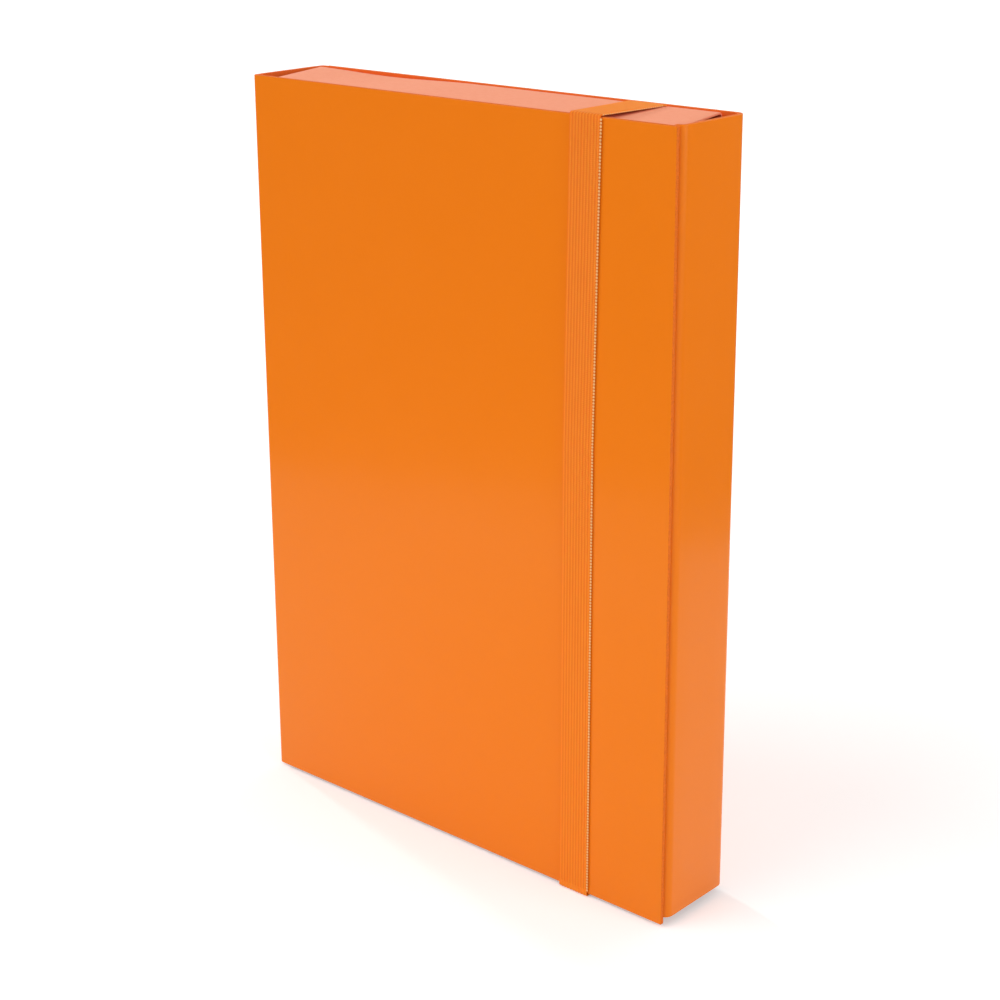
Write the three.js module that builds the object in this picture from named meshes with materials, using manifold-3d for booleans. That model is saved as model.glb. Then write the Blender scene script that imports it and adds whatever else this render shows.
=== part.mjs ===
// Box file for loose sheets: a hinged cover and spine, a folded back case, two card flaps and a flat elastic.
// Millimetres, +Z up. The cover faces -Y, the spine is at -X and the opening side at +X.
import * as THREE from 'three';
import { mergeVertices } from 'three/addons/utils/BufferGeometryUtils.js';
import Module from 'manifold-3d';

const wasm = await Module();
wasm.setup();

// Cover and spine
const coverHeight = 345;
const coverWidth = 241;
const boardThickness = 2;
const creaseRadius = 1.2;
const cutEdgeRadius = 0.4;

// Back case: back panel, side wall and tuck, folded from one sheet
const caseDepth = 44.5;
const sideProud = 1.5;
const wallRise = 0.2;
const sideWallLift = 2.2;
const caseSheet = 2;
const backFoldRadius = 4.5;
const frontFoldRadius = 4;
const sideTuckWidth = 55;
const sideTuckTaper = 18;
const notchReach = 3;

// Top and bottom flaps
const flapCard = 0.9;
const flapRecess = 1.2;
const flapFoldRadius = 1.6;
const flapFrontDrop = 1.2;
const flapSkew = 6;
const flapLeftGap = 1;
const flapRightGap = 2.4;
const flapTuckHeight = 62;
const flapRootHeight = 55;
const flapTaper = 16;

// Elastic
const bandWidth = 15.6;
const bandEndWidth = 18.6;
const bandThickness = 1;
const bandFoldRadius = 0.9;
const bandCentre = 195;
const bandLean = 2.6;
const bandEndHeight = 34;
const slotEndGap = 0.7;

// Free space between pieces that touch
const clearance = 0.3;
const foldSteps = 6;

// Levels and planes that follow from the sizes above; the cover's lower front edge is y = 0, z = 0
const caseWidth = coverWidth + sideProud;
const wallTop = coverHeight + wallRise;
const wallBottom = sideWallLift;
const backInner = caseDepth - caseSheet;
const sideInner = caseWidth - caseSheet;
const spineInner = boardThickness;
const sideTuckFront = boardThickness + clearance;
const flapTuckFront = sideTuckFront + caseSheet + clearance;
const flapRootBack = backInner - clearance;
const flapTop = wallTop - flapRecess;
const flapBottom = wallBottom + flapRecess;
const bandEndBack = flapRootBack - flapCard - clearance;
const bandEndMiddle = bandEndBack - bandThickness / 2;
const bandGap = clearance + bandThickness / 2;

const laminatedBoard = () => new THREE.MeshStandardMaterial({ color: 0xee7a17, roughness: 0.3, metalness: 0 });
const flapCardStock = () => new THREE.MeshStandardMaterial({ color: 0xf0a07e, roughness: 0.85, metalness: 0 });
const wovenElastic = () => new THREE.MeshStandardMaterial({ color: 0xf27e28, roughness: 0.8, metalness: 0 });

// Stations along a sheet's middle line: straight runs between corners, and an arc at each corner.
function foldLine(corners, radius) {
  const stations = [];
  const add = (point, direction) => {
    stations.push({ point, normal: new THREE.Vector2(-direction.y, direction.x) });
  };
  const unit = (from, to) => to.clone().sub(from).normalize();
  const last = corners.length - 1;
  add(corners[0], unit(corners[0], corners[1]));
  for (let i = 1; i < last; i += 1) {
    const entering = unit(corners[i - 1], corners[i]);
    const leaving = unit(corners[i], corners[i + 1]);
    const turn = Math.atan2(entering.cross(leaving), entering.dot(leaving));
    const setBack = radius[i - 1] * Math.tan(Math.abs(turn) / 2);
    const side = Math.sign(turn);
    const start = corners[i].clone().addScaledVector(entering, -setBack);
    const inward = new THREE.Vector2(-entering.y, entering.x).multiplyScalar(side);
    const centre = start.clone().addScaledVector(inward, radius[i - 1]);
    for (let step = 0; step <= foldSteps; step += 1) {
      const angle = (turn * step) / foldSteps;
      const point = start.clone().rotateAround(centre, angle);
      add(point, entering.clone().rotateAround(new THREE.Vector2(), angle));
    }
  }
  add(corners[last], unit(corners[last - 1], corners[last]));
  return stations;
}

// The outline of a sheet of even thickness on a line of stations.
function sheetOutline(stations, thickness) {
  const offset = (amount) => stations.map((s) => s.point.clone().addScaledVector(s.normal, amount));
  const front = offset(thickness / 2);
  const back = offset(-thickness / 2).reverse();
  return new THREE.Shape([...front, ...back]);
}

// A rectangle from (x0, y0) to (x1, y1) with the radius of each corner, anticlockwise from (x0, y0).
function roundedRectangle(x0, y0, x1, y1, [r0, r1, r2, r3]) {
  const shape = new THREE.Shape();
  const quarter = Math.PI / 2;
  shape.absarc(x0 + r0, y0 + r0, r0, 2 * quarter, 3 * quarter);
  shape.absarc(x1 - r1, y0 + r1, r1, -quarter, 0);
  shape.absarc(x1 - r2, y1 - r2, r2, 0, quarter);
  shape.absarc(x0 + r3, y1 - r3, r3, quarter, 2 * quarter);
  return shape;
}

// An outline given one unit of depth, each corner of which then goes where the rule puts it.
function reshapedExtrusion(outline, place) {
  const geometry = new THREE.ExtrudeGeometry(outline, { depth: 1, bevelEnabled: false, curveSegments: 5 });
  const position = geometry.attributes.position;
  for (let i = 0; i < position.count; i += 1) {
    const { x, y, z } = place(position.getX(i), position.getY(i), position.getZ(i));
    position.setXYZ(i, x, y, z);
  }
  geometry.computeVertexNormals();
  return geometry;
}

// A sheet seen in plan, between a lower and an upper edge that may change along it.
function uprightSheet(outline, lowerEdge, upperEdge) {
  return reshapedExtrusion(outline, (x, y, share) => {
    const z = THREE.MathUtils.lerp(lowerEdge(x, y), upperEdge(x, y), share);
    return { x, y, z };
  });
}

// A sheet seen from the side, in Y and Z, between a left and a right edge that may change along it.
function crosswiseSheet(outline, leftEdge, rightEdge) {
  return reshapedExtrusion(outline, (y, z, share) => {
    const x = THREE.MathUtils.lerp(leftEdge(y, z), rightEdge(y, z), share);
    return { x, y, z };
  });
}

function toSolid(geometry) {
  const bare = geometry.clone();
  bare.deleteAttribute('normal');
  bare.deleteAttribute('uv');
  const merged = mergeVertices(bare, 1e-4);
  return new wasm.Manifold(new wasm.Mesh({
    numProp: 3,
    vertProperties: new Float32Array(merged.attributes.position.array),
    triVerts: new Uint32Array(merged.index.array),
  }));
}

function toGeometry(solid) {
  const mesh = solid.getMesh();
  const geometry = new THREE.BufferGeometry();
  geometry.setAttribute('position', new THREE.BufferAttribute(new Float32Array(mesh.vertProperties), 3));
  geometry.setIndex(new THREE.BufferAttribute(new Uint32Array(mesh.triVerts), 1));
  geometry.computeVertexNormals();
  return geometry;
}

function part(name, geometry, material) {
  const mesh = new THREE.Mesh(geometry, material);
  mesh.name = name;
  return mesh;
}

// The cover's front-left edge is the crease on which it turns, so it is the rounder one.
function frontCover() {
  const edges = [creaseRadius, cutEdgeRadius, cutEdgeRadius, cutEdgeRadius];
  const outline = roundedRectangle(0, 0, coverWidth, boardThickness, edges);
  return part('front_cover', uprightSheet(outline, () => 0, () => coverHeight), laminatedBoard());
}

function spine() {
  const front = boardThickness + clearance;
  const back = backInner - clearance;
  const edges = [cutEdgeRadius, cutEdgeRadius, cutEdgeRadius, cutEdgeRadius];
  const outline = roundedRectangle(0, front, boardThickness, back, edges);
  return part('spine', uprightSheet(outline, () => 0, () => coverHeight), laminatedBoard());
}

// The side wall and its tuck are cut shorter than the back panel below, from the notch at the back fold on.
function backCase() {
  const backMiddle = caseDepth - caseSheet / 2;
  const sideMiddle = caseWidth - caseSheet / 2;
  const tuckMiddle = sideTuckFront + caseSheet / 2;
  const tuckEnd = sideInner - sideTuckWidth;
  const notchStart = caseWidth - backFoldRadius - notchReach;
  const corners = [
    new THREE.Vector2(0, backMiddle),
    new THREE.Vector2(sideMiddle, backMiddle),
    new THREE.Vector2(sideMiddle, tuckMiddle),
    new THREE.Vector2(tuckEnd, tuckMiddle),
  ];
  const radii = [backFoldRadius - caseSheet / 2, frontFoldRadius - caseSheet / 2];
  const stations = foldLine(corners, radii);
  const notch = { point: new THREE.Vector2(notchStart, backMiddle), normal: new THREE.Vector2(0, 1) };
  stations.splice(1, 0, notch);
  const isPanel = (x, y) => y > backInner - caseSheet && x < notchStart + notchReach / 2;
  const isTuckEnd = (x, y) => y < sideTuckFront + 2 * caseSheet && x < tuckEnd + caseSheet;
  const taper = (x, y) => (isTuckEnd(x, y) ? sideTuckTaper : 0);
  const lower = (x, y) => (isPanel(x, y) ? 0 : wallBottom + taper(x, y));
  const upper = (x, y) => wallTop - taper(x, y);
  return part('back_case', uprightSheet(sheetOutline(stations, caseSheet), lower, upper), laminatedBoard());
}

// Where the elastic's middle line is at a height, and how far it reaches to each side at a depth.
const bandMiddle = (z) => bandCentre + bandLean * (z / coverHeight - 0.5);
function bandHalfWidth(y) {
  const share = THREE.MathUtils.clamp(y / bandEndMiddle, 0, 1);
  return THREE.MathUtils.lerp(bandWidth, bandEndWidth, share) / 2;
}

// One flap: root against the back panel, wall across the depth and tuck under the cover.
// Outer is the wall's outer level at its root, and up is the way that it faces.
// Its ends lean to the right as they come forward, and its front fold lies a little further in than its root.
function flap(name, outer, up) {
  const wallMiddle = outer - (up * flapCard) / 2;
  const rootMiddle = flapRootBack - flapCard / 2;
  const tuckMiddle = flapTuckFront + flapCard / 2;
  const rootEnd = outer - up * flapRootHeight;
  const tuckEnd = outer - up * flapTuckHeight;
  const corners = [
    new THREE.Vector2(rootMiddle, rootEnd),
    new THREE.Vector2(rootMiddle, wallMiddle),
    new THREE.Vector2(tuckMiddle, wallMiddle - up * flapFrontDrop),
    new THREE.Vector2(tuckMiddle, tuckEnd),
  ];
  const outline = sheetOutline(foldLine(corners, [flapFoldRadius, flapFoldRadius]), flapCard);
  const lean = (y) => (flapSkew * (flapRootBack - y)) / (flapRootBack - flapTuckFront);
  const isSheetEnd = (z) => Math.abs(outer - z) > flapTaper * 2;
  const taper = (z) => (isSheetEnd(z) ? flapTaper : 0);
  const left = (y, z) => spineInner + flapLeftGap + lean(y) + taper(z);
  const right = (y, z) => sideInner - flapRightGap - flapSkew + lean(y) - taper(z);
  const sheet = toSolid(crosswiseSheet(outline, left, right));
  return part(name, toGeometry(sheet.subtract(slotTool(outer))), flapCardStock());
}

// The slot that the elastic goes through, cut in the flap's wall beside its root.
function slotTool(outer) {
  const length = bandEndWidth + 2 * slotEndGap;
  const width = bandThickness + 2 * clearance;
  const height = 4 * (flapFoldRadius + flapCard);
  const box = new THREE.BoxGeometry(length, width, height);
  box.translate(bandMiddle(outer), bandEndMiddle, outer);
  return toSolid(box);
}

// The corner that the elastic turns at, around a cover edge at one level and on to the wall at another.
function bandCorner(coverEdge, wall, up) {
  const slope = (wall - coverEdge) / (bandEndMiddle - boardThickness);
  return new THREE.Vector2(-bandGap, coverEdge + up * bandGap - slope * (boardThickness + bandGap));
}

// One strap: down the front, over the top and under the bottom, with both ends inside against the flaps' roots.
function elasticBand() {
  const topEnd = flapTop - bandEndHeight;
  const bottomEnd = flapBottom + bandEndHeight;
  const corners = [
    new THREE.Vector2(bandEndMiddle, topEnd),
    new THREE.Vector2(bandEndMiddle, flapTop + bandGap),
    bandCorner(coverHeight, flapTop, 1),
    bandCorner(0, flapBottom, -1),
    new THREE.Vector2(bandEndMiddle, flapBottom - bandGap),
    new THREE.Vector2(bandEndMiddle, bottomEnd),
  ];
  const radii = [bandFoldRadius, bandFoldRadius, bandFoldRadius, bandFoldRadius];
  const outline = sheetOutline(foldLine(corners, radii), bandThickness);
  const left = (y, z) => bandMiddle(z) - bandHalfWidth(y);
  const right = (y, z) => bandMiddle(z) + bandHalfWidth(y);
  return part('elastic_band', crosswiseSheet(outline, left, right), wovenElastic());
}

const group = new THREE.Group();
group.add(
  frontCover(),
  spine(),
  backCase(),
  flap('top_flap', flapTop, 1),
  flap('bottom_flap', flapBottom, -1),
  elasticBand(),
);

// The origin is on the floor, under the middle of the closed file.
const extent = new THREE.Box3().setFromObject(group, true);
const middle = extent.getCenter(new THREE.Vector3());
group.position.set(-middle.x, -middle.y, -extent.min.z);
group.updateMatrixWorld(true);

export default group;
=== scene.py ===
"""Box file with a hinged cover: the visual model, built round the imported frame."""

import math
from collections import namedtuple

import bmesh
import bpy
from bpy.props import FloatProperty, FloatVectorProperty, IntProperty, PointerProperty
from bpy.types import Operator, Panel, PropertyGroup
from mathutils import Matrix, Vector
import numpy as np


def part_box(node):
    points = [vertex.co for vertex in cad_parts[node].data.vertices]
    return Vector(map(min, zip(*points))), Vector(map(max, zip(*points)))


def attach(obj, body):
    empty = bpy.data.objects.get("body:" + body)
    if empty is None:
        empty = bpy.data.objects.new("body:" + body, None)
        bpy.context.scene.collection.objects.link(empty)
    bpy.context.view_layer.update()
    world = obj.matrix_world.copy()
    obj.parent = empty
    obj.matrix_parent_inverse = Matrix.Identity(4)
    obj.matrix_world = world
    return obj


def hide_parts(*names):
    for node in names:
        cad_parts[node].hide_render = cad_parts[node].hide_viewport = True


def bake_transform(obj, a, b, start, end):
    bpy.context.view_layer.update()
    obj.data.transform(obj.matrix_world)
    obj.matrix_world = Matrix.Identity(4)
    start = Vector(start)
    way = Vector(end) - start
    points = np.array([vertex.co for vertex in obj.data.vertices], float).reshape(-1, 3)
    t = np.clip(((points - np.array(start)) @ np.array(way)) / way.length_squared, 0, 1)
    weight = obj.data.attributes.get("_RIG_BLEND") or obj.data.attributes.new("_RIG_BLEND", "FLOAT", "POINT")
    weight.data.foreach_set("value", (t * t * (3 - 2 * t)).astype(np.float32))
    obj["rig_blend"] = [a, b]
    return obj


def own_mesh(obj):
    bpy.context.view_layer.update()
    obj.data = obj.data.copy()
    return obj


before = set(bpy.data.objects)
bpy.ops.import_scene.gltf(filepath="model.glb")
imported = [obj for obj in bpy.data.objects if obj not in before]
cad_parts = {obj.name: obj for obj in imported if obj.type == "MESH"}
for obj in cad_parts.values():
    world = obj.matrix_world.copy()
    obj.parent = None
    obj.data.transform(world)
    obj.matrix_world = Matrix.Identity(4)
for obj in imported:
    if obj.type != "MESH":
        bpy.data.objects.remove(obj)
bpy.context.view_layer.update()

bl_info = {
    "name": "Box file with hinged cover",
    "version": (1, 0, 0),
    "blender": (4, 5, 0),
    "location": "3D View > Sidebar > Box file",
    "description": "Builds the sheets, the flaps, the elastic strap and the studio of a box file",
    "category": "Add Mesh",
}

ACROSS = Vector((1.0, 0.0, 0.0))
UPRIGHT = Vector((0.0, 0.0, 1.0))
TO_FRONT = Vector((0.0, -1.0, 0.0))
TO_BACK = Vector((0.0, 1.0, 0.0))
TO_SPINE = Vector((-1.0, 0.0, 0.0))

# The frame's own sizes. Places are measured from the cover's lower left front corner, in metres.
COVER_LOW, COVER_HIGH = (Vector(corner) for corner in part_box("front_cover"))
CASE_HIGH = Vector(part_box("back_case")[1])
TOP_LOW, TOP_HIGH = (Vector(corner) - COVER_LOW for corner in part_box("top_flap"))
BOTTOM_LOW = Vector(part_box("bottom_flap")[0]) - COVER_LOW
COVER_WIDTH = COVER_HIGH.x - COVER_LOW.x
COVER_HEIGHT = COVER_HIGH.z - COVER_LOW.z
CASE_WIDTH = CASE_HIGH.x - COVER_LOW.x
CASE_DEPTH = CASE_HIGH.y - COVER_LOW.y
CASE_TOP = CASE_HIGH.z - COVER_LOW.z

# Tolerances: no length, doubled vertices, the same place, the same row, and a fold's aim.
NO_LENGTH = 1e-6
DOUBLES = 1e-7
SAME_PLACE = 1e-5
SAME_ROW = 1e-4
FOLD_AIM = 4e-4
# Angles in degrees: past the first an edge is a cut edge, and past the others it is shaded sharp.
CUT_ANGLE = 60.0
SMOOTH_ANGLE = 30.0
STRAP_SMOOTH_ANGLE = 60.0
# Rounding of the cut edges.
BOARD_EDGE = 0.00035
CARD_EDGE = 0.00018
STRAP_EDGE = 0.00012
# How far from a corner a hinge crease begins and ends to turn.
TURN_REACH = 0.0015
# The dip of the top wall: its place from the flap's left end and from its root, and its reach.
DIP_FROM_END = 0.045
DIP_FROM_ROOT = 0.006
DIP_REACH = 0.05
# The strap: its slots' width, the space behind its ends, and how much shorter than the case's depth
# its way to the front is.
SLOT_WIDTH = 0.0016
STRAP_BACK_SPACE = 0.0005
STRAP_SHORTCUT = 0.004
# A rib's profile: places over its pitch, and the share of its height by which they rise together.
RIB_STEPS = (((0.25, 0.5, 0.75), 0.6), ((0.5,), 0.4))
RIB_REACH = 0.02
# Shares of a picot's radius: how far its middle stands out beside the cover's run, and how far it is
# tucked in at the top and bottom runs.
PICOT_OUT = 0.9
PICOT_TUCK = 0.5

# The suns: name, setting for the strength, place that the light comes from, and spread in degrees.
SUNS = (
    ("front_sun", "front_light", (-0.9, -1.5, 1.5), 50.0),
    ("side_sun", "side_light", (1.6, 0.1, 0.6), 40.0),
    ("spine_sun", "spine_light", (-1.6, 0.35, 0.36), 5.0),
    ("back_sun", "back_light", (0.1, 1.6, 0.35), 40.0),
)
# The dark cards that only gloss mirrors: name, place, and the place on the floor that each faces.
DARK_CARDS = (
    ("dark_card_front", (-0.36, -0.42, 0.25), (0.0, 0.0)),
    ("dark_card_right", (0.40, 0.36, 0.25), (0.12, 0.0)),
)
DARK_CARD_SIZE = (1.6, 0.5)
LAMP_PLACE = (0.0, -0.38, 0.03)
LAMP_TARGET = (0.0, 0.0, 0.04)
LAMP_SIZE = (0.6, 0.06)
FLOOR_SIZE = 30.0

# The camera, fitted to the corners seen in the photograph: metres, degrees and millimetres.
CAMERA_PLACE = (0.5882, -0.6533, 0.4673)
CAMERA_AZIMUTH = 41.537
CAMERA_ELEVATION = 17.157
CAMERA_ROLL = -0.288
CAMERA_LENS = 73.93
CAMERA_SENSOR = 36.0
CAMERA_SHIFT = -0.07
CAMERA_REACH = 100.0

Run = namedtuple("Run", "end radius steps drift flare", defaults=(0.0, 1, 0.0, 1.0))
Finish = namedtuple("Finish", "outside inside cut_edge")


def at(x, y, z):
    """A place in the frame, from its distances to the cover's lower left front corner."""
    return COVER_LOW + Vector((x, y, z))


def length(name, description, default):
    """A length that a user can set, in metres."""
    return FloatProperty(name=name, description=description, default=default, unit="LENGTH")


def colour(name, description, default):
    """A linear colour that a user can set."""
    return FloatVectorProperty(
        name=name, description=description, default=default, subtype="COLOR", min=0, max=1)


def strength(name, description, default):
    """A strength of light that a user can set."""
    return FloatProperty(name=name, description=description, default=default, min=0)


class BoxFileSheets(PropertyGroup):
    """Sizes of the board and card sheets."""

    board: length("Board", "Thickness of the laminated board", 0.002)
    card: length("Card", "Thickness of the flaps' card", 0.0009)
    crease_leg: length("Crease leg", "How far a crease reaches on to each board", 0.005)
    crease_radius: length("Crease radius", "Radius of the board's middle at a hinge crease", 0.00105)
    back_fold: length("Back fold", "Outer radius between back panel and side wall", 0.0045)
    front_fold: length("Front fold", "Outer radius between side wall and tuck", 0.004)
    side_lift: length("Side lift", "Height of the side wall's lower edge over the cover's", 0.0022)
    notch: length("Notch", "Width of the slanting cut where the side wall's edge rises", 0.003)
    side_tuck: length("Side tuck", "How far the side wall's tuck reaches under the cover", 0.055)
    side_taper: length("Side taper", "How much the side tuck's end is cut back at each corner", 0.018)
    tuck_gap: length("Tuck gap", "Free space between sheets that lie on each other", 0.0003)
    flap_fold: length("Flap fold", "Radius of the card's middle at the flaps' folds", 0.0016)
    flap_drop: length("Flap drop", "How far a flap's front fold lies inside its rear fold", 0.0012)
    flap_skew: length("Flap skew", "How far the flaps' ends lean to the right at the front", 0.006)
    flap_root: length("Flap root", "Height of the part glued on the back panel", 0.055)
    flap_tuck: length("Flap tuck", "Height of the part under the cover", 0.062)
    flap_taper: length("Flap taper", "How much a flap's ends are cut back at each corner", 0.016)
    flap_sag: length("Flap sag", "Dip of the top wall beside the spine", 0.001)
    flap_rise: length("Flap rise", "How far the springy top wall stands over its solid", 0.001)


class BoxFileStrap(PropertyGroup):
    """Sizes of the elastic strap and its picot edge."""

    width: length("Width", "Width on the cover", 0.0156)
    end_width: length("End width", "Width at the slots", 0.0186)
    thickness: length("Thickness", "Thickness of the weave between its ribs", 0.00068)
    level: length("Level", "Height of the strap's middle over what it lies on", 0.0008)
    rest: length("Rest", "Height of the strap's middle over the top wall's rear fold", 0.0005)
    fold: length("Fold", "Radius at the strap's folds", 0.0009)
    bend: FloatProperty(
        name="Bend", description="Height of its one slight bend, as a share of the cover's", default=0.6,
        min=0.1, max=0.9, subtype="FACTOR")
    centre: length("Centre", "Distance of its middle from the spine at the bend", 0.1934)
    upper_lean: length("Upper lean", "How much further right it is at the top than at the bend", 0.0029)
    lower_lean: length("Lower lean", "How much further left it is at the bottom than at the bend", 0.0008)
    end_height: length("End height", "Length of each end inside the flaps", 0.034)
    slot_gap: length("Slot gap", "Free space at each end of a slot", 0.0007)
    ribs: IntProperty(name="Ribs", description="Number of lengthwise ribs", default=10, min=3, max=20)
    rib_height: length("Rib height", "Height of a rib over the weave", 0.00022)
    picot_pitch: length("Picot pitch", "Distance between two edge loops", 0.00135)
    picot_radius: length("Picot radius", "Radius of one edge loop", 0.00031)
    picot_yarn: length("Picot yarn", "Radius of the loops' yarn", 0.00024)


class BoxFileColours(PropertyGroup):
    """Colours of the finishes, as linear values."""

    film: colour("Film", "Gloss film outside", (0.855, 0.198, 0.002))
    film_tone: colour("Film tone", "The film's slightly deeper patches", (0.835, 0.189, 0.0015))
    paper: colour("Paper", "Orange paper inside", (0.85, 0.125, 0.007))
    core: colour("Core", "Cut edge of the board", (0.77, 0.155, 0.008))
    card: colour("Card", "Salmon card of the flaps", (0.85, 0.287, 0.152))
    card_fibre: colour("Card fibre", "Paler fibres in the card", (0.88, 0.325, 0.187))
    rib: colour("Rib", "Raised ribs of the strap", (0.94, 0.245, 0.012))
    # Painted shade: the grooves between the strap's ribs are painted darker than the ribs.
    painted_groove_shade: colour("Groove", "Grooves of the strap", (0.83, 0.172, 0.003))
    picot: colour("Picot", "Pale yarn of the edge loops", (1.0, 0.60, 0.24))


class BoxFileStudio(PropertyGroup):
    """Light and floor."""

    world_light: strength("World light", "Strength of the light from all round", 0.45)
    front_light: strength("Front light", "Soft light from the front left", 1.3)
    side_light: strength("Side light", "Soft low light from the right", 1.15)
    spine_light: strength("Spine light", "Low light from the left, a little from behind", 1.5)
    back_light: strength("Back light", "Soft low light from behind, for the back panel", 0.9)
    low_light: FloatProperty(
        name="Low light", description="Strip on the floor that brightens the cover's lower part",
        default=0.22, min=0, unit="POWER")
    floor_white: FloatProperty(
        name="Floor white", description="Reflection of the floor", default=0.86, min=0, max=1,
        subtype="FACTOR")
    floor_lift: FloatProperty(
        name="Floor lift", description="What the floor adds to rays that are seen", default=0.3, min=0, max=1,
        subtype="FACTOR")


def object_mode():
    """Leaves edit mode if a piece is in it."""
    if bpy.context.object and bpy.context.object.mode != "OBJECT":
        bpy.ops.object.mode_set(mode="OBJECT")


def only(piece):
    """Deselects everything, then selects one piece and makes it the active one."""
    object_mode()
    bpy.ops.object.select_all(action="DESELECT")
    piece.select_set(True)
    bpy.context.view_layer.objects.active = piece


def clear_selection():
    """Deselects everything before a primitive is added."""
    object_mode()
    bpy.ops.object.select_all(action="DESELECT")
    bpy.context.view_layer.objects.active = None


def apply_place():
    """Puts the active piece's place, turn and scale into its mesh."""
    bpy.ops.object.transform_apply(location=True, rotation=True, scale=True)


def edit(piece):
    """Puts one piece into edit mode with nothing selected."""
    only(piece)
    bpy.ops.object.mode_set(mode="EDIT")
    bpy.ops.mesh.select_all(action="DESELECT")


def pick(piece, keep):
    """In edit mode, selects the vertices that keep says. There has to be one."""
    bpy.ops.mesh.select_mode(type="VERT")
    bpy.ops.mesh.select_all(action="DESELECT")
    mesh = bmesh.from_edit_mesh(piece.data)
    chosen = [vertex for vertex in mesh.verts if keep(vertex)]
    if not chosen:
        raise RuntimeError(f"{piece.name}: there is no vertex where one was to be shaped")
    for vertex in chosen:
        vertex.select_set(True)
    mesh.select_flush_mode()
    bmesh.update_edit_mesh(piece.data)


def apply_modifier(piece, kind, **settings):
    """Adds a modifier, sets it and applies it."""
    only(piece)
    modifier = piece.modifiers.new(kind.lower(), kind)
    for setting, value in settings.items():
        setattr(modifier, setting, value)
    bpy.ops.object.modifier_apply(modifier=modifier.name)


def along_axis(direction, factor):
    """Scale values that stretch by factor along one of the frame's axes only."""
    return tuple(factor if abs(part) > 0.5 else 1.0 for part in direction)


def mark_row(piece, distance):
    """Writes the distance along the sheet on the selected vertices."""
    mesh = bmesh.from_edit_mesh(piece.data)
    layer = mesh.verts.layers.float["along"]
    for vertex in mesh.verts:
        if vertex.select:
            vertex[layer] = distance


def row_centre(piece):
    """The middle of the selected vertices."""
    mesh = bmesh.from_edit_mesh(piece.data)
    row = [vertex.co for vertex in mesh.verts if vertex.select]
    return sum(row, Vector()) / len(row)


def first_run(name, start, end, across, width, steps, columns):
    """The first run of a sheet: a grid at its place, with the distances across and along written on it."""
    clear_selection()
    bpy.ops.mesh.primitive_grid_add(x_subdivisions=steps, y_subdivisions=columns, size=1.0)
    sheet = bpy.context.object
    sheet.name = name
    sheet.data.name = name
    run = end - start
    basis = Matrix((run, across * width, run.normalized().cross(across))).transposed().to_4x4()
    basis.translation = (start + end) / 2
    sheet.matrix_world = basis
    apply_place()
    edit(sheet)
    mesh = bmesh.from_edit_mesh(sheet.data)
    across_layer = mesh.verts.layers.float.new("across")
    along_layer = mesh.verts.layers.float.new("along")
    for vertex in mesh.verts:
        vertex[across_layer] = (vertex.co - start).dot(across)
        vertex[along_layer] = (vertex.co - start).dot(run.normalized())
    return sheet


def creased_sheet(name, start, runs, across, width, columns=1, fold_steps=8, shape=None):
    """An open surface on a creased line: a grid, from whose end the rest is extruded and spun."""
    points = [start] + [run.end for run in runs]
    headings = [(b - a).normalized() for a, b in zip(points, points[1:])]
    turns = [a.angle(b) for a, b in zip(headings, headings[1:])] + [0.0]
    set_backs = [0.0] + [run.radius * math.tan(turn / 2) for run, turn in zip(runs, turns)]
    distance = 0.0
    for index, run in enumerate(runs):
        heading = headings[index]
        run_start = points[index] + heading * set_backs[index]
        run_end = points[index + 1] - heading * set_backs[index + 1]
        reach = (run_end - run_start).length
        if index == 0:
            sheet = first_run(name, run_start, run_end, across, width, run.steps, columns)
            if shape:
                shape(sheet)
            pick(sheet, lambda vertex: abs((vertex.co - run_end).dot(heading)) < NO_LENGTH)
            distance = reach
            slide = Vector()
        elif reach > NO_LENGTH:
            for _ in range(run.steps):
                move = heading * (reach / run.steps) + across * (run.drift / run.steps)
                bpy.ops.mesh.extrude_region_move(TRANSFORM_OT_translate={"value": tuple(move)})
                slide += across * (run.drift / run.steps)
                distance += reach / run.steps
                mark_row(sheet, distance)
                if run.flare != 1.0:
                    factor = run.flare ** (1.0 / run.steps)
                    bpy.ops.transform.resize(
                        value=along_axis(across, factor), center_override=tuple(row_centre(sheet)))
        if turns[index] > NO_LENGTH:
            following = headings[index + 1]
            inward = (following - heading * following.dot(heading)).normalized()
            centre = run_end + inward * run.radius + slide
            pivot = heading.cross(following).normalized()
            # Spin turns against its axis, so the axis is the pivot turned round.
            for _ in range(fold_steps):
                bpy.ops.mesh.spin(
                    steps=1, angle=turns[index] / fold_steps, center=tuple(centre), axis=tuple(-pivot))
                distance += run.radius * turns[index] / fold_steps
                mark_row(sheet, distance)
            reached = row_centre(sheet) - slide
            wanted = points[index + 1] + following * set_backs[index + 1]
            drop = reached - wanted
            drop -= across * drop.dot(across)
            if drop.length > FOLD_AIM:
                raise RuntimeError(f"{name}: a fold ended {drop.length * 1000:.2f} mm from its place")
    bpy.ops.mesh.select_all(action="SELECT")
    bpy.ops.mesh.remove_doubles(threshold=DOUBLES)
    return sheet


def face_outwards(sheet, outward):
    """In edit mode, makes all faces agree, and turns them over if the first run doesn't face outwards."""
    bpy.ops.mesh.select_all(action="SELECT")
    bpy.ops.mesh.normals_make_consistent(inside=False)
    mesh = bmesh.from_edit_mesh(sheet.data)
    mesh.faces.ensure_lookup_table()
    layer = mesh.verts.layers.float["along"]
    first = min(mesh.faces, key=lambda face: sum(vertex[layer] for vertex in face.verts) / len(face.verts))
    if first.normal.dot(outward) < 0:
        bpy.ops.mesh.flip_normals()


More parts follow.
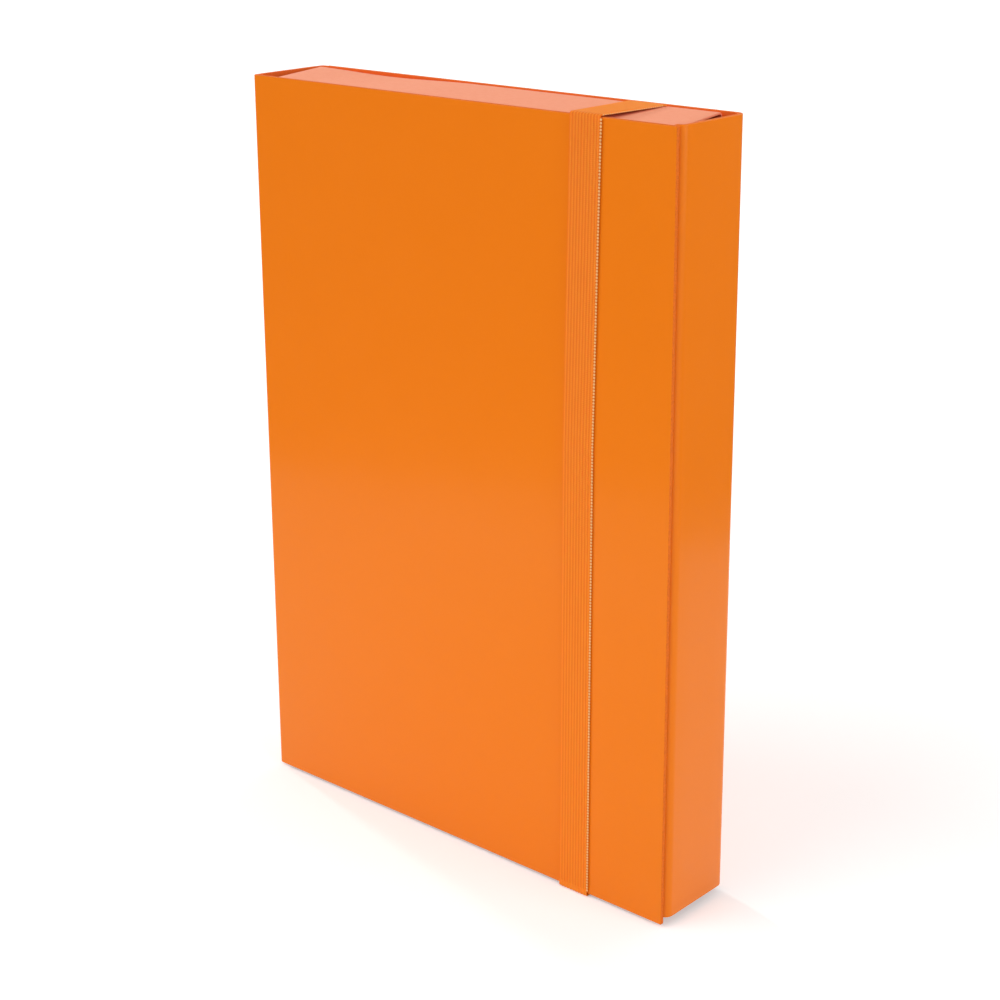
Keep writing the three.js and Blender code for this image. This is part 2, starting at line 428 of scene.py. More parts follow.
def thicken(sheet, outward, thickness, edge_radius, finish, square=None, smooth=SMOOTH_ANGLE):
    """Gives a sheet its thickness and three finishes, and rounds its cut edges except beside a crease."""
    face_outwards(sheet, outward)
    object_mode()
    sheet.data.materials.clear()
    for material in finish:
        sheet.data.materials.append(material)
    apply_modifier(
        sheet, "SOLIDIFY", thickness=thickness, offset=0.0, use_even_offset=True,
        material_offset=1, material_offset_rim=2)
    edit(sheet)
    bpy.ops.mesh.select_mode(type="EDGE")
    bpy.ops.mesh.edges_select_sharp(sharpness=math.radians(CUT_ANGLE))
    if square:
        mesh = bmesh.from_edit_mesh(sheet.data)
        for edge in mesh.edges:
            if edge.select and all(square(vertex.co) for vertex in edge.verts):
                edge.select_set(False)
        bmesh.update_edit_mesh(sheet.data)
    bpy.ops.mesh.bevel(
        offset=edge_radius, offset_type="OFFSET", segments=3, affect="EDGES", clamp_overlap=True)
    only(sheet)
    bpy.ops.object.shade_smooth_by_angle(angle=math.radians(smooth))
    return sheet


def weave_map(sheet):
    """Turns the distances across and along the sheet into its UV map, in metres."""
    mesh = sheet.data
    for layer in list(mesh.uv_layers):
        mesh.uv_layers.remove(layer)
    weave = mesh.uv_layers.new(name="weave")
    across = mesh.attributes["across"].data
    along = mesh.attributes["along"].data
    for loop in mesh.loops:
        vertex = loop.vertex_index
        weave.data[loop.index].uv = (across[vertex].value, along[vertex].value)


def set_inputs(tree, node, inputs):
    """Sets a node's inputs to values, or links them to other nodes' outputs."""
    for socket, value in inputs.items():
        if isinstance(value, bpy.types.NodeSocket):
            tree.links.new(value, node.inputs[socket])
        else:
            node.inputs[socket].default_value = value


def new_node(tree, kind, inputs=None, **settings):
    """Adds a shader node, with its settings and its inputs."""
    node = tree.nodes.new(kind)
    for setting, value in settings.items():
        setattr(node, setting, value)
    set_inputs(tree, node, inputs or {})
    return node


def new_group(name, inputs, outputs):
    """An empty shader node group. Its inputs are numbers or vectors, as their defaults are."""
    group = bpy.data.node_groups.new(name, "ShaderNodeTree")
    for label, default in inputs.items():
        kind = "NodeSocketFloat" if isinstance(default, float) else "NodeSocketVector"
        socket = group.interface.new_socket(label, in_out="INPUT", socket_type=kind)
        socket.default_value = default
    for label in outputs:
        group.interface.new_socket(label, in_out="OUTPUT", socket_type="NodeSocketFloat")
    return group, group.nodes.new("NodeGroupInput"), group.nodes.new("NodeGroupOutput")


def place_group(tree, name, inputs):
    """Places a node group in a material, with its own values."""
    return new_node(tree, "ShaderNodeGroup", inputs, node_tree=bpy.data.node_groups[name])


def math_node(tree, operation, first, second=0.0, third=0.0):
    """A math node's result."""
    inputs = {0: first, 1: second, 2: third}
    return new_node(tree, "ShaderNodeMath", inputs, operation=operation).outputs[0]


def weighted_sum(tree, first, first_share, second, second_share):
    """Two values added, each times its share."""
    return math_node(
        tree, "ADD", math_node(tree, "MULTIPLY", first, first_share),
        math_node(tree, "MULTIPLY", second, second_share))


def noise_node(tree, place, scale, detail=2.0, roughness=0.5):
    """A noise pattern's value at a place."""
    noise = new_node(
        tree, "ShaderNodeTexNoise",
        {"Vector": place, "Scale": scale, "Detail": detail, "Roughness": roughness})
    return noise.outputs["Fac"]


def film_relief_group():
    """Relief of a laminated film: slow waves of the board, fine orange peel, and patches of tone."""
    group, start, end = new_group(
        "film relief",
        {"Place": (0.0, 0.0, 0.0), "Wave scale": 14.0, "Peel scale": 650.0, "Peel share": 0.08},
        ("Height", "Tone"))
    place = start.outputs["Place"]
    waves = noise_node(group, place, start.outputs["Wave scale"], detail=1.0)
    peel = noise_node(group, place, start.outputs["Peel scale"], detail=2.0)
    fine = math_node(group, "MULTIPLY", peel, start.outputs["Peel share"])
    group.links.new(math_node(group, "ADD", waves, fine), end.inputs["Height"])
    patches = noise_node(group, place, 30.0, detail=3.0)
    specks = noise_node(group, place, 420.0, detail=1.0)
    group.links.new(weighted_sum(group, patches, 0.7, specks, 0.3), end.inputs["Tone"])


def card_fibre_group():
    """Fibres of uncoated card: a fine tooth and longer fibres stretched along one direction."""
    group, start, end = new_group(
        "card fibre",
        {"Place": (0.0, 0.0, 0.0), "Stretch": (1.0, 6.0, 1.0), "Fibre scale": 260.0, "Tooth scale": 1900.0},
        ("Height", "Fibre"))
    stretched = new_node(
        group, "ShaderNodeVectorMath",
        {0: start.outputs["Place"], 1: start.outputs["Stretch"]}, operation="MULTIPLY").outputs[0]
    fibres = noise_node(group, stretched, start.outputs["Fibre scale"], detail=4.0, roughness=0.65)
    tooth = noise_node(group, start.outputs["Place"], start.outputs["Tooth scale"], detail=2.0)
    group.links.new(weighted_sum(group, fibres, 0.6, tooth, 0.4), end.inputs["Height"])
    ramp = new_node(
        group, "ShaderNodeMapRange", {"Value": fibres, "From Min": 0.36, "From Max": 0.64}, clamp=True)
    group.links.new(ramp.outputs["Result"], end.inputs["Fibre"])


def knit_group():
    """Warp-knit weave on the strap's own map: ribs across its width, and stitches along each of them. Rib is
    the share of the rib colour against the painted groove shade.
    """
    group, start, end = new_group(
        "knit weave",
        {"Weave": (0.0, 0.0, 0.0), "Rib pitch": 0.00142, "Stitch pitch": 0.0008, "Front start": 0.07,
         "Front end": 0.42},
        ("Height", "Rib"))
    parts = new_node(group, "ShaderNodeSeparateXYZ", {0: start.outputs["Weave"]})
    turn = 2.0 * math.pi
    rib_count = math_node(group, "DIVIDE", parts.outputs[0], start.outputs["Rib pitch"])
    stitch_count = math_node(group, "DIVIDE", parts.outputs[1], start.outputs["Stitch pitch"])
    wave = math_node(group, "COSINE", math_node(group, "MULTIPLY", rib_count, turn))
    rib = math_node(group, "MULTIPLY_ADD", wave, -0.5, 0.5)
    slanted = math_node(group, "ADD", math_node(group, "MULTIPLY", stitch_count, turn), wave)
    stitch = math_node(group, "MULTIPLY_ADD", math_node(group, "SINE", slanted), 0.5, 0.5)
    fuzz = noise_node(group, start.outputs["Weave"], 3200.0, detail=2.0)
    group.links.new(weighted_sum(group, stitch, 0.7, fuzz, 0.5), end.inputs["Height"])
    # The painted groove shade is laid on the cover's run only. Off it, the strap is painted nearly the
    # lighter rib colour, so its top and bottom runs are painted lighter.
    on_front = math_node(
        group, "MULTIPLY",
        math_node(group, "GREATER_THAN", parts.outputs[1], start.outputs["Front start"]),
        math_node(group, "LESS_THAN", parts.outputs[1], start.outputs["Front end"]))
    flat = math_node(group, "MULTIPLY", math_node(group, "SUBTRACT", 1.0, on_front), 0.8)
    group.links.new(math_node(group, "MAXIMUM", rib, flat), end.inputs["Rib"])


def new_material(name):
    """A node material with a Principled BSDF, and its object coordinates."""
    material = bpy.data.materials.new(name)
    material.use_nodes = True
    tree = material.node_tree
    shader = tree.nodes["Principled BSDF"]
    place = new_node(tree, "ShaderNodeTexCoord").outputs["Object"]
    return material, tree, shader, place


def mix_colours(tree, share, first, second):
    """A colour between two, by a share."""
    mix = new_node(tree, "ShaderNodeMix", data_type="RGBA")
    tree.links.new(share, mix.inputs["Factor"])
    mix.inputs["A"].default_value = (*first, 1.0)
    mix.inputs["B"].default_value = (*second, 1.0)
    return mix.outputs["Result"]


def add_bump(tree, shader, height, distance, strength):
    """Feeds a height into the shader's normal."""
    bump = new_node(tree, "ShaderNodeBump", {"Height": height, "Distance": distance, "Strength": strength})
    tree.links.new(bump.outputs["Normal"], shader.inputs["Normal"])


def scaled(colour, factor):
    """A colour made a little lighter or deeper."""
    return tuple(min(part * factor, 1.0) for part in colour)


def film_material(colours):
    """Orange gloss film on the outside of the boards."""
    _, tree, shader, place = new_material("orange_gloss_film")
    relief = place_group(tree, "film relief", {"Place": place})
    tone = relief.outputs["Tone"]
    rough = new_node(tree, "ShaderNodeMapRange", {"Value": tone, "To Min": 0.26, "To Max": 0.34})
    set_inputs(tree, shader, {
        "Base Color": mix_colours(tree, tone, colours.film_tone, colours.film),
        "Roughness": rough.outputs["Result"],
        "Specular IOR Level": 0.16,
        "Coat Weight": 0.1,
        "Coat Roughness": 0.12,
    })
    add_bump(tree, shader, relief.outputs["Height"], 0.0004, 0.35)


def fibre_material(name, tones, roughness, specular, bump, scale=260.0, stretch=(1.0, 6.0, 1.0)):
    """A matte material with fibres between two tones, and a bump given by its depth and strength."""
    _, tree, shader, place = new_material(name)
    fibre = place_group(
        tree, "card fibre", {"Place": place, "Stretch": stretch, "Fibre scale": scale})
    set_inputs(tree, shader, {
        "Base Color": mix_colours(tree, fibre.outputs["Fibre"], *tones),
        "Roughness": roughness,
        "Specular IOR Level": specular,
    })
    add_bump(tree, shader, fibre.outputs["Height"], *bump)


def paper_material(colours):
    """Matte orange paper on the inside of the boards."""
    tones = (scaled(colours.paper, 0.95), scaled(colours.paper, 1.04))
    fibre_material("orange_inner_paper", tones, 0.72, 0.3, (0.00008, 0.6), scale=320.0)


def core_material(colours):
    """Cut edge of the board, with its pressed layers."""
    tones = (scaled(colours.core, 0.86), scaled(colours.core, 1.06))
    fibre_material(
        "board_cut_edge", tones, 0.8, 0.25, (0.00015, 0.8), scale=1400.0, stretch=(1.0, 1.0, 1.0))


def card_material(colours):
    """Uncoated salmon card of the flaps."""
    fibre_material("salmon_card", (colours.card, colours.card_fibre), 0.78, 0.3, (0.00006, 0.6))


def picot_material(colours):
    """Pale yarn of the strap's edge loops."""
    tones = (scaled(colours.picot, 0.9), scaled(colours.picot, 1.05))
    fibre_material(
        "picot_yarn", tones, 0.8, 0.1, (0.00005, 0.5), scale=2600.0, stretch=(1.0, 1.0, 2.0))


def strap_material(colours):
    """Ribbed woven elastic, with painted shade in the grooves between its ribs."""
    _, tree, shader, _ = new_material("ribbed_elastic")
    weave = new_node(tree, "ShaderNodeUVMap", uv_map="weave").outputs["UV"]
    strap = bpy.context.scene.box_file_strap
    lead = strap.end_height + CASE_DEPTH - STRAP_SHORTCUT
    knit = place_group(tree, "knit weave", {
        "Weave": weave, "Rib pitch": strap.end_width / strap.ribs,
        "Front start": lead, "Front end": lead + COVER_HEIGHT})
    set_inputs(tree, shader, {
        # The grooves take the darker painted-shade colour, and the ribs take the strap's own colour.
        "Base Color": mix_colours(tree, knit.outputs["Rib"], colours.painted_groove_shade, colours.rib),
        "Roughness": 0.75,
        "Specular IOR Level": 0.3,
        "Subsurface Weight": 0.35,
        "Subsurface Radius": (1.0, 0.35, 0.08),
        "Subsurface Scale": 0.0015,
        "Sheen Weight": 0.05,
        "Sheen Roughness": 0.5,
        "Sheen Tint": (1.0, 0.6, 0.25, 1.0),
    })
    add_bump(tree, shader, knit.outputs["Height"], 0.00012, 0.7)


def board_finish():
    """The laminated board's three finishes."""
    materials = bpy.data.materials
    return Finish(
        materials["orange_gloss_film"], materials["orange_inner_paper"], materials["board_cut_edge"])


def one_finish(name):
    """One finish on all sides of a sheet."""
    material = bpy.data.materials[name]
    return Finish(material, material, material)


def straight_board(name, start, end, outward, free_end):
    """A flat board between two places, square where it meets a crease."""
    sizes = bpy.context.scene.box_file_sheets
    board = creased_sheet(name, start, [Run(end)], UPRIGHT, COVER_HEIGHT)
    heading = (end - start).normalized()

    def square(place):
        reach = (place - start).dot(heading)
        return reach < SAME_PLACE or (not free_end and reach > (end - start).length - SAME_PLACE)

    return thicken(board, outward, sizes.board, BOARD_EDGE, board_finish(), square)


def hinge_crease(name, start, corner, end, outward):
    """The short rounded length of board that bends at a hinge."""
    sizes = bpy.context.scene.box_file_sheets
    runs = [Run(corner, sizes.crease_radius, 4), Run(end, 0.0, 4)]
    crease = creased_sheet(name, start, runs, UPRIGHT, COVER_HEIGHT, fold_steps=10)
    first = (corner - start).normalized()
    last = (end - corner).normalized()

    def square(place):
        return (place - start).dot(first) < SAME_PLACE or (place - end).dot(last) > -SAME_PLACE

    return thicken(crease, outward, sizes.board, BOARD_EDGE, board_finish(), square)


class BOXFILE_OT_materials(Operator):
    """Makes the node groups and the materials"""

    bl_idname = "box_file.materials"
    bl_label = "Make finishes"

    def execute(self, context):
        colours = context.scene.box_file_colours
        for make_group in (film_relief_group, card_fibre_group, knit_group):
            make_group()
        finishes = (
            film_material, paper_material, core_material, card_material, strap_material, picot_material)
        for make_material in finishes:
            make_material(colours)
        return {"FINISHED"}


class BOXFILE_OT_cover(Operator):
    """Makes the front cover and the crease that it hangs on"""

    bl_idname = "box_file.cover"
    bl_label = "Make cover"

    def execute(self, context):
        sizes = context.scene.box_file_sheets
        middle = sizes.board / 2
        half = COVER_HEIGHT / 2
        board = straight_board(
            "cover_board", at(sizes.crease_leg, middle, half), at(COVER_WIDTH, middle, half), TO_FRONT, True)
        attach(board, "cover")
        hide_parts("front_cover")
        crease = hinge_crease(
            "front_crease", at(middle, sizes.crease_leg, half), at(middle, middle, half),
            at(sizes.crease_leg, middle, half), TO_SPINE)
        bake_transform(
            crease, "spine", "cover", start=at(-TURN_REACH, TURN_REACH, half),
            end=at(TURN_REACH, -TURN_REACH, half))
        return {"FINISHED"}


class BOXFILE_OT_spine(Operator):
    """Makes the spine and the crease behind it"""

    bl_idname = "box_file.spine"
    bl_label = "Make spine"

    def execute(self, context):
        sizes = context.scene.box_file_sheets
        middle = sizes.board / 2
        half = COVER_HEIGHT / 2
        rear = CASE_DEPTH - sizes.crease_leg
        board = straight_board(
            "spine_board", at(middle, sizes.crease_leg, half), at(middle, rear, half), TO_SPINE, False)
        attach(board, "spine")
        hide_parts("spine")
        crease = hinge_crease(
            "back_crease", at(middle, rear, half), at(middle, CASE_DEPTH - middle, half),
            at(sizes.crease_leg, CASE_DEPTH - middle, half), TO_SPINE)
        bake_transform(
            crease, "spine", "tray", start=at(-TURN_REACH, CASE_DEPTH - TURN_REACH, half),
            end=at(TURN_REACH, CASE_DEPTH + TURN_REACH, half))
        return {"FINISHED"}


class BOXFILE_OT_case(Operator):
    """Makes the back panel, side wall and tuck from one folded sheet"""

    bl_idname = "box_file.case"
    bl_label = "Make back case"

    def execute(self, context):
        sizes = context.scene.box_file_sheets
        middle = sizes.board / 2
        half = CASE_TOP / 2
        rear = CASE_DEPTH - middle
        side = CASE_WIDTH - middle
        tuck = sizes.board + sizes.tuck_gap + middle
        tuck_end = CASE_WIDTH - sizes.board - sizes.side_tuck
        notch_end = CASE_WIDTH - sizes.back_fold
        runs = [
            Run(at(notch_end - sizes.notch, rear, half), 0.0, 4),
            Run(at(notch_end, rear, half)),
            Run(at(side, rear, half), sizes.back_fold - middle),
            Run(at(side, tuck, half), sizes.front_fold - middle, 4),
            Run(at(tuck_end, tuck, half)),
        ]
        case = creased_sheet(
            "case_wrap", at(sizes.crease_leg, rear, half), runs, UPRIGHT, CASE_TOP, fold_steps=10)
        floor = at(0, 0, 0).z
        past_notch = at(notch_end, 0, 0).x - SAME_PLACE
        panel = at(0, rear, 0).y - SAME_PLACE
        pick(case, lambda vertex: vertex.co.z < floor + SAME_ROW and (
            vertex.co.x > past_notch or vertex.co.y < panel))
        bpy.ops.transform.translate(value=(0.0, 0.0, sizes.side_lift))
        end = at(tuck_end, tuck, half)
        pick(case, lambda vertex: (
            abs(vertex.co.x - end.x) < SAME_PLACE and abs(vertex.co.y - end.y) < SAME_ROW))
        height = CASE_TOP - sizes.side_lift
        bpy.ops.transform.resize(
            value=(1.0, 1.0, 1.0 - 2 * sizes.side_taper / height),
            center_override=tuple(at(tuck_end, tuck, sizes.side_lift + height / 2)))
        start_x = at(sizes.crease_leg, 0, 0).x
        thicken(
            case, TO_BACK, sizes.board, BOARD_EDGE, board_finish(),
            lambda place: place.x < start_x + SAME_PLACE)
        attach(case, "tray")
        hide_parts("back_case")
        return {"FINISHED"}


def strap_middle(height):
    """The strap's middle line at a height over the cover's lower edge, from the spine. It bends once."""
    strap = bpy.context.scene.box_file_strap
    bend = strap.bend * COVER_HEIGHT
    if height > bend:
        return strap.centre + strap.upper_lean * (height - bend) / (COVER_HEIGHT - bend)
    return strap.centre - strap.lower_lean * (bend - height) / bend


def strap_end_depth():
    """How far behind the cover's face the middle of the strap's ends lies."""
    sizes = bpy.context.scene.box_file_sheets
    return CASE_DEPTH - sizes.board - 2 * sizes.tuck_gap - sizes.card - STRAP_BACK_SPACE


def flap(name, outer, up, left, node):
    """One flap: root, wall and tuck, with the strap's slot in its rear fold."""
    sizes = bpy.context.scene.box_file_sheets
    strap = bpy.context.scene.box_file_strap
    width = TOP_HIGH.x - TOP_LOW.x - sizes.flap_skew
    middle = left + width / 2
    root = CASE_DEPTH - sizes.board - sizes.tuck_gap - sizes.card / 2
    tuck = 2 * sizes.board + 2 * sizes.tuck_gap + sizes.card / 2
    rise = sizes.flap_rise if up > 0 else 0.0
    wall = outer + rise - up * sizes.card / 2
    runs = [
        Run(at(middle, root, wall), sizes.flap_fold),
        Run(at(middle, tuck, wall - up * sizes.flap_drop), sizes.flap_fold, 12, sizes.flap_skew),
        Run(at(middle, tuck, outer - up * sizes.flap_tuck)),
    ]
    start = at(middle, root, outer - up * sizes.flap_root)
    card = creased_sheet(name, start, runs, ACROSS, width, columns=40, fold_steps=6)
    for end in (start, runs[-1].end):
        pick(card, lambda vertex: (
            abs(vertex.co.z - end.z) < SAME_PLACE and abs(vertex.co.y - end.y) < SAME_ROW))
        bpy.ops.transform.resize(
            value=(1.0 - 2 * sizes.flap_taper / width, 1.0, 1.0), center_override=tuple(row_centre(card)))
    if up > 0:
        dip = at(left + DIP_FROM_END, root - DIP_FROM_ROOT, wall)
        mesh = bmesh.from_edit_mesh(card.data)
        nearest = min((vertex.co - dip).length for vertex in mesh.verts)
        pick(card, lambda vertex: (vertex.co - dip).length < nearest + NO_LENGTH)
        bpy.ops.transform.translate(
            value=(0.0, 0.0, -sizes.flap_sag), use_proportional_edit=True,
            proportional_edit_falloff="SMOOTH", proportional_size=DIP_REACH)
    thicken(card, TO_BACK, sizes.card, CARD_EDGE, one_finish("salmon_card"))
    slot_length = strap.end_width + 2 * strap.slot_gap
    clear_selection()
    bpy.ops.mesh.primitive_cube_add(size=1.0, location=at(strap_middle(outer), strap_end_depth(), outer))
    cutter = bpy.context.object
    cutter.scale = (slot_length, SLOT_WIDTH, 4 * (sizes.flap_fold + sizes.card))
    apply_place()
    apply_modifier(card, "BOOLEAN", operation="DIFFERENCE", object=cutter, solver="EXACT")
    bpy.data.objects.remove(cutter)
    only(card)
    bpy.ops.object.shade_smooth_by_angle(angle=math.radians(SMOOTH_ANGLE))
    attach(card, "tray")
    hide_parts(node)


class BOXFILE_OT_flaps(Operator):
    """Makes the top and bottom flaps of folded card"""

    bl_idname = "box_file.flaps"
    bl_label = "Make flaps"

    def execute(self, context):
        flap("top_card", TOP_HIGH.z, 1.0, TOP_LOW.x, "top_flap")
        flap("bottom_card", BOTTOM_LOW.z, -1.0, BOTTOM_LOW.x, "bottom_flap")
        return {"FINISHED"}


def strap_corners():
    """The corners of the strap's middle line, from its end in the top flap to its end in the bottom one."""
    sizes = bpy.context.scene.box_file_sheets
    strap = bpy.context.scene.box_file_strap
    depth = strap_end_depth()
    corners = []
    for outer, cover_edge, up in ((TOP_HIGH.z, COVER_HEIGHT, 1.0), (BOTTOM_LOW.z, 0.0, -1.0)):
        slope = (outer - cover_edge) / (depth - sizes.board)
        front = cover_edge + up * strap.level - slope * (sizes.board + strap.level)
        level = outer + up * strap.level if up < 0 else outer + sizes.flap_rise + strap.rest
        end = outer - up * strap.end_height
        corners.append([(depth, end), (depth, level), (-strap.level, front)])
    top, bottom = corners
    return top + bottom[::-1]


def rib_columns(band):
    """Raises the ribs on the first run, so that extruding it carries them along the whole strap."""
    strap = bpy.context.scene.box_file_strap
    pitch = strap.end_width / strap.ribs
    left = -strap.end_width / 2
    for steps, share in RIB_STEPS:

        def on_rib(vertex):
            layer = bmesh.from_edit_mesh(band.data).verts.layers.float["across"]
            position = ((vertex[layer] - left) / pitch) % 1.0
            return any(abs(position - step) < RIB_REACH for step in steps)

        pick(band, on_rib)
        bpy.ops.transform.translate(value=(0.0, -strap.rib_height * share, 0.0))


def edge_loops(name, start, end):
    """A row of small yarn loops between two places on the strap's right edge."""
    strap = bpy.context.scene.box_file_strap
    line = end - start
    count = int(line.length / strap.picot_pitch)
    upright = abs(line.z) > abs(line.y)
    clear_selection()
    bpy.ops.mesh.primitive_torus_add(
        location=start, rotation=(math.radians(90.0), 0.0, 0.0) if upright else (0.0, 0.0, 0.0),
        major_segments=8, minor_segments=5, major_radius=strap.picot_radius, minor_radius=strap.picot_yarn)
    loops = bpy.context.object
    loops.name = name
    apply_place()
    step = line / count
    apply_modifier(
        loops, "ARRAY", count=count, use_relative_offset=False, use_constant_offset=True,
        constant_offset_displace=tuple(step))
    return loops


class BOXFILE_OT_strap(Operator):
    """Makes the elastic strap and the loops along its right edge"""

    bl_idname = "box_file.strap"
    bl_label = "Make elastic strap"

    def execute(self, context):
        strap = context.scene.box_file_strap
        corners = strap_corners()
        start_x = strap_middle(corners[1][1])
        places = [at(start_x, depth, height) for depth, height in corners]
        bend = strap.bend * COVER_HEIGHT
        bend_place = at(start_x, -strap.level, bend)
        upper = strap_middle(bend) - strap_middle(corners[2][1])
        lower = strap_middle(corners[3][1]) - strap_middle(bend)
        narrow = strap.width / strap.end_width
        runs = [
            Run(places[1], strap.fold, 6),
            Run(places[2], strap.fold, 12, 0.0, narrow),
            Run(bend_place, 0.0, 24, upper),
            Run(places[3], strap.fold, 36, lower),
            Run(places[4], strap.fold, 12, 0.0, 1 / narrow),
            Run(places[5], 0.0, 6),
        ]
        band = creased_sheet(
            "elastic_strap", places[0], runs, ACROSS, strap.end_width, columns=4 * strap.ribs, fold_steps=5,
            shape=rib_columns)
        thicken(
            band, TO_FRONT, strap.thickness, STRAP_EDGE, one_finish("ribbed_elastic"),
            smooth=STRAP_SMOOTH_ANGLE)
        weave_map(band)
        self.finish(band)
        edge = strap.width / 2 + strap.picot_radius * PICOT_OUT
        tucked = strap.picot_radius * PICOT_TUCK
        under_edge = strap.width / 2 - tucked
        wide_edge = strap.end_width / 2 - tucked
        (_, rear_top), (_, top), (front, bottom), (rear, rear_bottom) = corners[1:5]
        margin = 2 * strap.fold
        at_bend = at(strap_middle(bend) + edge, front, bend)
        ends = (
            ("picot_edge", at(strap_middle(top) + edge, front, top - margin), at_bend),
            ("picot_lower", at_bend, at(strap_middle(bottom) + edge, front, bottom + margin)),
            ("picot_top", at(strap_middle(top) + under_edge, front + margin, top - tucked),
             at(strap_middle(rear_top) + wide_edge, rear - margin, rear_top - tucked)),
            ("picot_bottom", at(strap_middle(bottom) + under_edge, front + margin, bottom + tucked),
             at(strap_middle(bottom) + wide_edge, rear - margin, rear_bottom + tucked)),
        )
        rows = [edge_loops(name, start, end) for name, start, end in ends]
        only(rows[0])
        for row in rows:
            row.select_set(True)
        bpy.ops.object.join()
        loops = rows[0]
        loops.data.materials.clear()
        loops.data.materials.append(bpy.data.materials["picot_yarn"])
        only(loops)
        bpy.ops.object.shade_smooth()
        self.finish(loops)
        return {"FINISHED"}

    @staticmethod
    def finish(piece):
        """Rides with the tray in place of the frame's strap, with a mesh of its own."""
        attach(piece, "tray")
        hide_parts("elastic_band")
        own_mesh(piece)


def new_lamp(kind, name, place, target, **settings):
    """A lamp at a place, turned to a target. A sun's place only gives its direction."""
    clear_selection()
    turn = (Vector(target) - Vector(place)).to_track_quat("-Z", "Y").to_euler()
    bpy.ops.object.light_add(type=kind, location=place, rotation=turn)
    lamp = bpy.context.object
    lamp.name = name
    for setting, value in settings.items():
        setattr(lamp.data, setting, value)
    return lamp


def dark_card(name, place, target):
    """A dark card that stands on the floor out of sight, and that only the gloss of the film mirrors."""
    clear_selection()
    facing = Vector((target[0] - place[0], target[1] - place[1], 0.0)).to_track_quat("Z", "Y").to_euler()
    bpy.ops.mesh.primitive_plane_add(size=1.0, location=place, rotation=facing)
    card = bpy.context.object
    card.name = name
    card.scale = (*DARK_CARD_SIZE, 1.0)
    apply_place()
    card.data.materials.append(bpy.data.materials["dark_card"])
    card.visible_camera = False
    card.visible_diffuse = False
    card.visible_shadow = False


def seen_rays(tree):
    """1 for rays of the camera, reflections and glass, and 0 for the light that falls on the object."""
    rays = tree.nodes.new("ShaderNodeLightPath").outputs
    direct = math_node(tree, "MAXIMUM", rays["Is Camera Ray"], rays["Is Glossy Ray"])
    return math_node(tree, "MAXIMUM", direct, rays["Is Transmission Ray"])


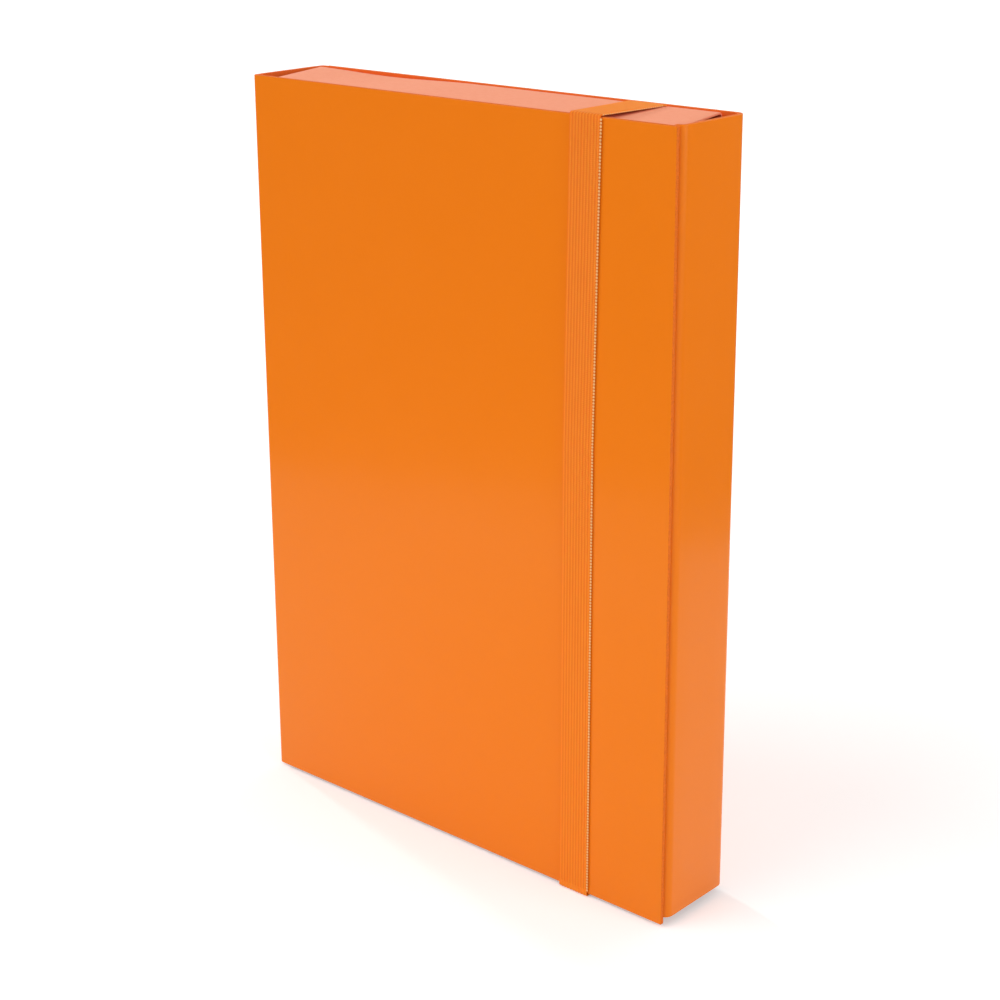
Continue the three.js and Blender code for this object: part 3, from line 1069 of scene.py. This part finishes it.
class BOXFILE_OT_studio(Operator):
    """Makes the white floor, the soft light and the camera"""

    bl_idname = "box_file.studio"
    bl_label = "Make studio"

    def execute(self, context):
        studio = context.scene.box_file_studio
        self.make_floor(studio)
        self.make_world(context.scene, studio)
        for name, setting, origin, spread in SUNS:
            new_lamp(
                "SUN", name, origin, (0.0, 0.0, 0.0), angle=math.radians(spread),
                energy=getattr(studio, setting))
        lamp = new_lamp(
            "AREA", "floor_lamp", LAMP_PLACE, LAMP_TARGET, shape="RECTANGLE", size=LAMP_SIZE[0],
            size_y=LAMP_SIZE[1], energy=studio.low_light)
        lamp.visible_camera = False
        lamp.visible_glossy = False
        self.make_card_material()
        for name, place, target in DARK_CARDS:
            dark_card(name, place, target)
        self.make_camera(context.scene)
        context.scene.view_settings.view_transform = "Standard"
        return {"FINISHED"}

    @staticmethod
    def make_floor(studio):
        """A matte white floor, a little brighter to rays that are seen than to those that light."""
        clear_selection()
        bpy.ops.mesh.primitive_grid_add(
            x_subdivisions=4, y_subdivisions=4, size=FLOOR_SIZE, location=(0.0, 0.0, 0.0))
        floor = bpy.context.object
        floor.name = "studio_floor"
        material, tree, shader, _ = new_material("white_floor")
        white = studio.floor_white
        set_inputs(tree, shader, {
            "Base Color": (white, white, white, 1.0), "Roughness": 1.0, "Specular IOR Level": 0.0})
        glow = math_node(tree, "MULTIPLY", seen_rays(tree), studio.floor_lift)
        lift = new_node(tree, "ShaderNodeEmission", {"Strength": glow})
        both = new_node(tree, "ShaderNodeAddShader", {0: shader.outputs[0], 1: lift.outputs[0]})
        tree.links.new(both.outputs[0], tree.nodes["Material Output"].inputs["Surface"])
        floor.data.materials.append(material)

    @staticmethod
    def make_card_material():
        """Matte, nearly black, with a little cloud."""
        _, tree, shader, place = new_material("dark_card")
        cloud = noise_node(tree, place, 3.0)
        dark = mix_colours(tree, cloud, (0.03, 0.03, 0.03), (0.05, 0.05, 0.05))
        set_inputs(tree, shader, {"Base Color": dark, "Roughness": 1.0})

    @staticmethod
    def make_world(scene, studio):
        """White surroundings, brighter to rays that are seen than to those that light."""
        world = bpy.data.worlds.new("studio_world")
        scene.world = world
        world.use_nodes = True
        tree = world.node_tree
        background = tree.nodes["Background"]
        background.inputs["Color"].default_value = (1.0, 1.0, 1.0, 1.0)
        brightness = new_node(
            tree, "ShaderNodeMapRange",
            {"Value": seen_rays(tree), "To Min": studio.world_light, "To Max": 1.0})
        tree.links.new(brightness.outputs["Result"], background.inputs["Strength"])

    @staticmethod
    def make_camera(scene):
        """The camera at its place, turned by its azimuth and elevation and rolled a little."""
        azimuth = math.radians(CAMERA_AZIMUTH)
        elevation = math.radians(CAMERA_ELEVATION)
        roll = math.radians(CAMERA_ROLL)
        away = Vector((
            math.sin(azimuth) * math.cos(elevation),
            -math.cos(azimuth) * math.cos(elevation),
            math.sin(elevation)))
        right = UPRIGHT.cross(away).normalized()
        up = away.cross(right)
        right_rolled = right * math.cos(roll) + up * math.sin(roll)
        up_rolled = up * math.cos(roll) - right * math.sin(roll)
        turn = Matrix((right_rolled, up_rolled, away)).transposed().to_euler()
        clear_selection()
        bpy.ops.object.camera_add(location=CAMERA_PLACE, rotation=turn)
        camera = bpy.context.object
        camera.name = "photo_camera"
        camera.data.sensor_width = CAMERA_SENSOR
        camera.data.lens = CAMERA_LENS
        camera.data.shift_y = CAMERA_SHIFT
        camera.data.clip_end = CAMERA_REACH
        scene.camera = camera


class BOXFILE_PT_sidebar(Panel):
    """Lists the sizes, the colours and the steps"""

    bl_idname = "BOXFILE_PT_sidebar"
    bl_label = "Box file"
    bl_space_type = "VIEW_3D"
    bl_region_type = "UI"
    bl_category = "Box file"

    def draw(self, context):
        layout = self.layout
        for operator in OPERATORS:
            layout.operator(operator.bl_idname)
        for settings in SETTINGS:
            box = layout.box()
            group = getattr(context.scene, settings)
            for name in group.__annotations__:
                box.prop(group, name)


SETTINGS = {
    "box_file_sheets": BoxFileSheets,
    "box_file_strap": BoxFileStrap,
    "box_file_colours": BoxFileColours,
    "box_file_studio": BoxFileStudio,
}
OPERATORS = (
    BOXFILE_OT_materials,
    BOXFILE_OT_cover,
    BOXFILE_OT_spine,
    BOXFILE_OT_case,
    BOXFILE_OT_flaps,
    BOXFILE_OT_strap,
    BOXFILE_OT_studio,
)


def register():
    """Registers the settings, the operators and the panel."""
    for name, settings in SETTINGS.items():
        bpy.utils.register_class(settings)
        setattr(bpy.types.Scene, name, PointerProperty(type=settings))
    for operator in OPERATORS:
        bpy.utils.register_class(operator)
    bpy.utils.register_class(BOXFILE_PT_sidebar)


def unregister():
    """Takes back what register has added."""
    bpy.utils.unregister_class(BOXFILE_PT_sidebar)
    for operator in reversed(OPERATORS):
        bpy.utils.unregister_class(operator)
    for name, settings in reversed(SETTINGS.items()):
        delattr(bpy.types.Scene, name)
        bpy.utils.unregister_class(settings)


def main():
    """Builds the file, its finishes and its studio."""
    register()
    bpy.ops.box_file.materials()
    bpy.ops.box_file.cover()
    bpy.ops.box_file.spine()
    bpy.ops.box_file.case()
    bpy.ops.box_file.flaps()
    bpy.ops.box_file.strap()
    bpy.ops.box_file.studio()


if __name__ == "__main__":
    main()
